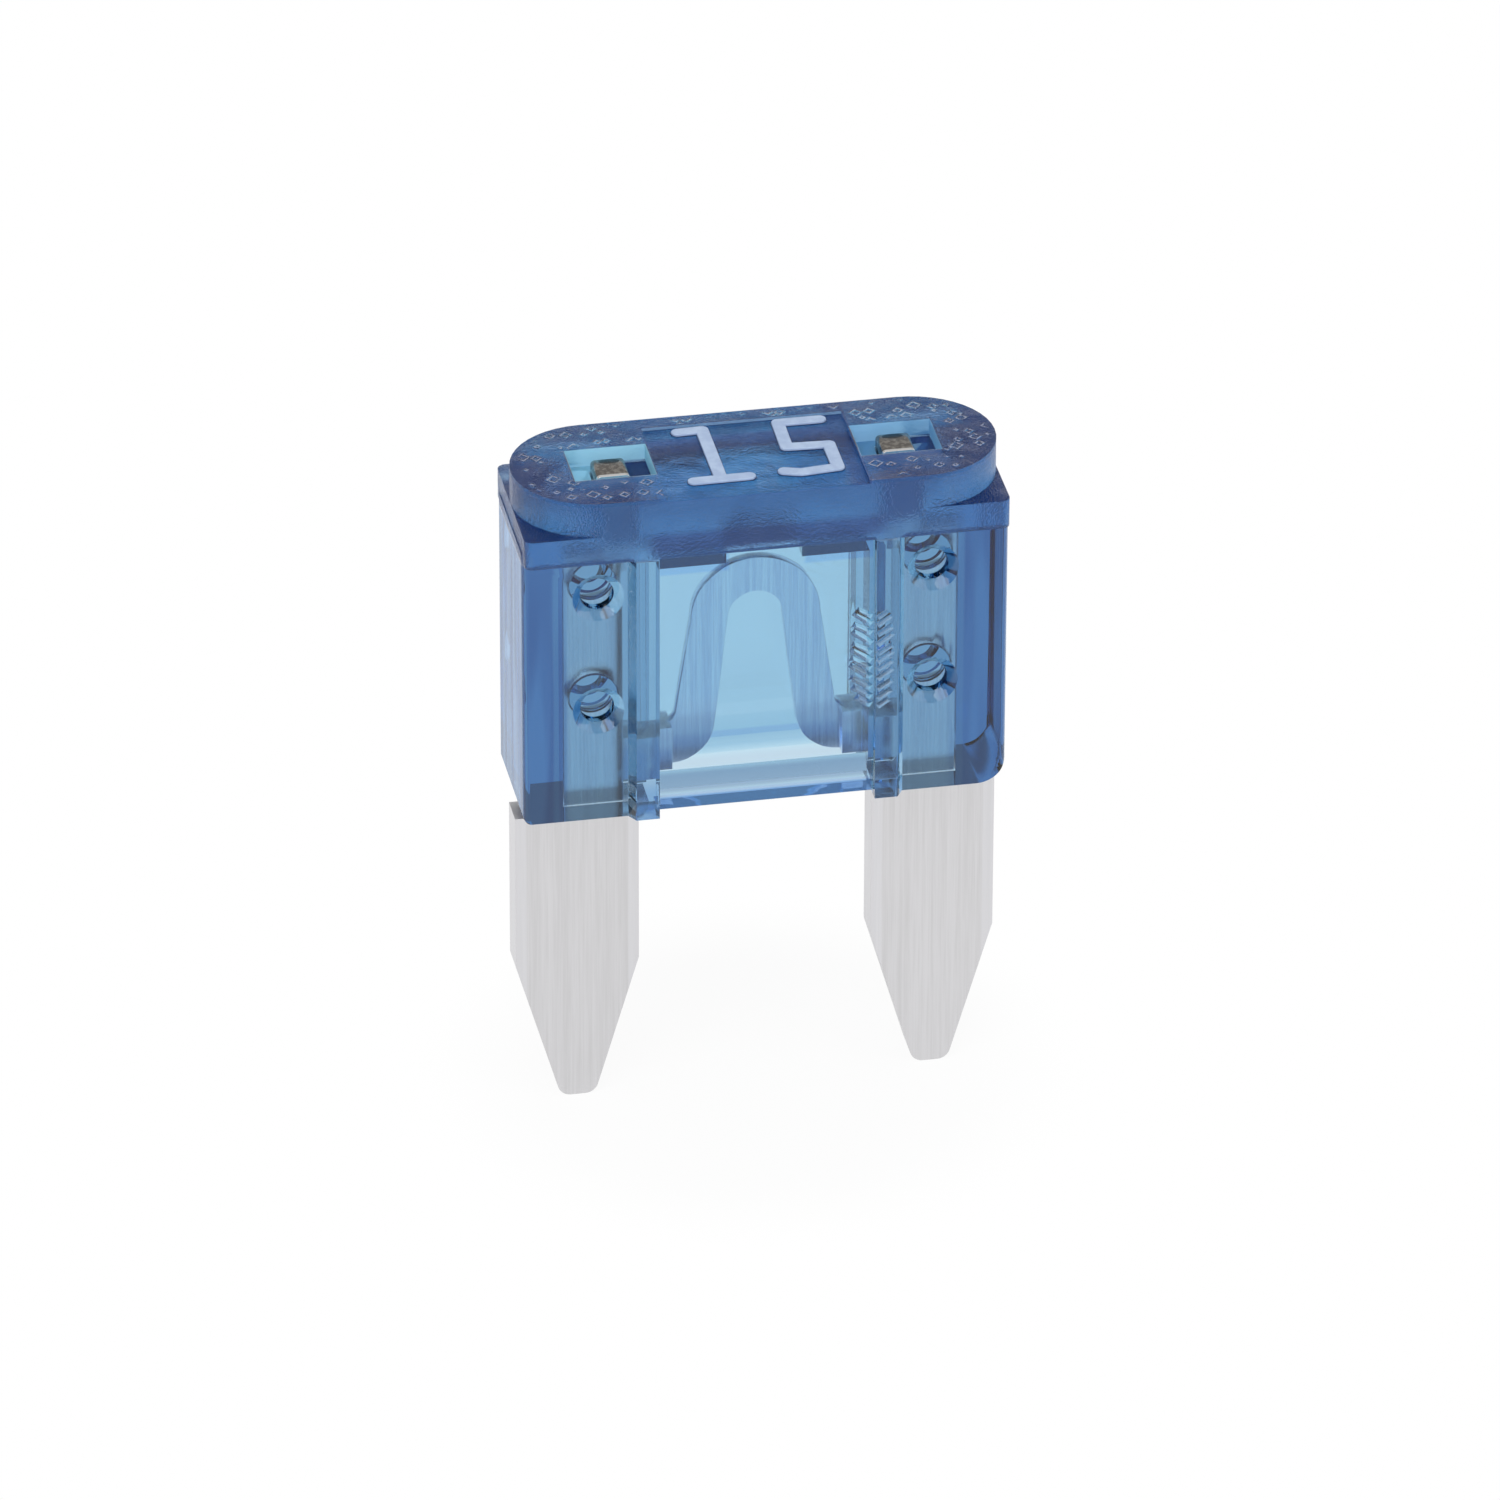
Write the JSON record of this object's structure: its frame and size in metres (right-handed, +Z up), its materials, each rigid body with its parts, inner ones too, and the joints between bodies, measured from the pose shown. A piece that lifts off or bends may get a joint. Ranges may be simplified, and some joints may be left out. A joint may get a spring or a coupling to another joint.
{
  "type": "automotive blade fuse",
  "caption": "Small automotive blade fuse: transparent blue housing with open test pockets, staked onto a stamped element with flat blades and a thin arched link.",
  "frame": {"origin": "centre of the underside of the housing, midway between the two blades", "axes": "+Z up from the blades to the head, +X along the width, -Y towards the front face seen in the picture"},
  "size_m": [0.011, 0.0038, 0.0159],
  "materials": {
    "housing": "transparent blue moulded plastic, glossy",
    "fuse_element": "plated zinc strip, satin, with fine upright draw lines"
  },
  "bodies": {
    "root": {"housing": "housing", "fuse_element": "fuse_element"}
  },
  "joints": []
}
